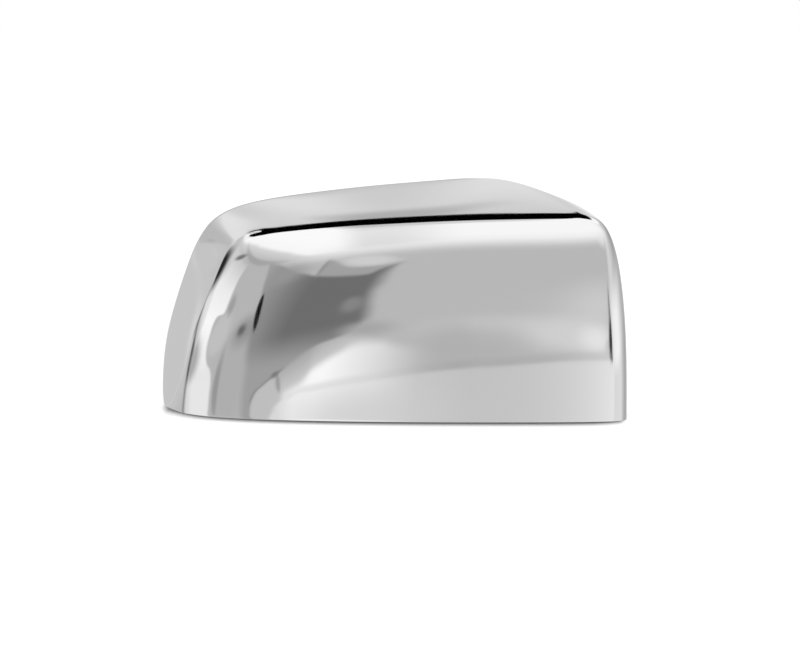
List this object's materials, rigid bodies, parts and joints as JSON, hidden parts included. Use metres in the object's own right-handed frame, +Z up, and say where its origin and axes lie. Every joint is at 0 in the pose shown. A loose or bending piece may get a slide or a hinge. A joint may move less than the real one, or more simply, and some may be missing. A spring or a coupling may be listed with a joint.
{
  "type": "wing mirror cover",
  "caption": "Plated upper cover for a large wing mirror: a thin bowed shell with a deep ledge, open behind and below, taped over the mirror housing.",
  "frame": {"origin": "middle of the cover's width and depth, on the surface that its foot stands on", "axes": "+X from the outboard end to the inboard end, +Y from the front face back to the rim, +Z up"},
  "size_m": [0.2634, 0.0842, 0.1276],
  "materials": {
    "chrome_plating": "bright mirror chrome plating outside, duller plating inside",
    "foam_tape": "dull closed-cell acrylic foam tape",
    "release_liner": "thin red plastic film with a soft sheen"
  },
  "bodies": {
    "root": {"cover_shell": "chrome_plating", "tape_end": "foam_tape", "tape_top": "foam_tape", "tape_side": "foam_tape", "tape_foot": "foam_tape", "liner_end": "release_liner", "liner_top": "release_liner", "liner_side": "release_liner", "liner_foot": "release_liner"}
  },
  "joints": []
}
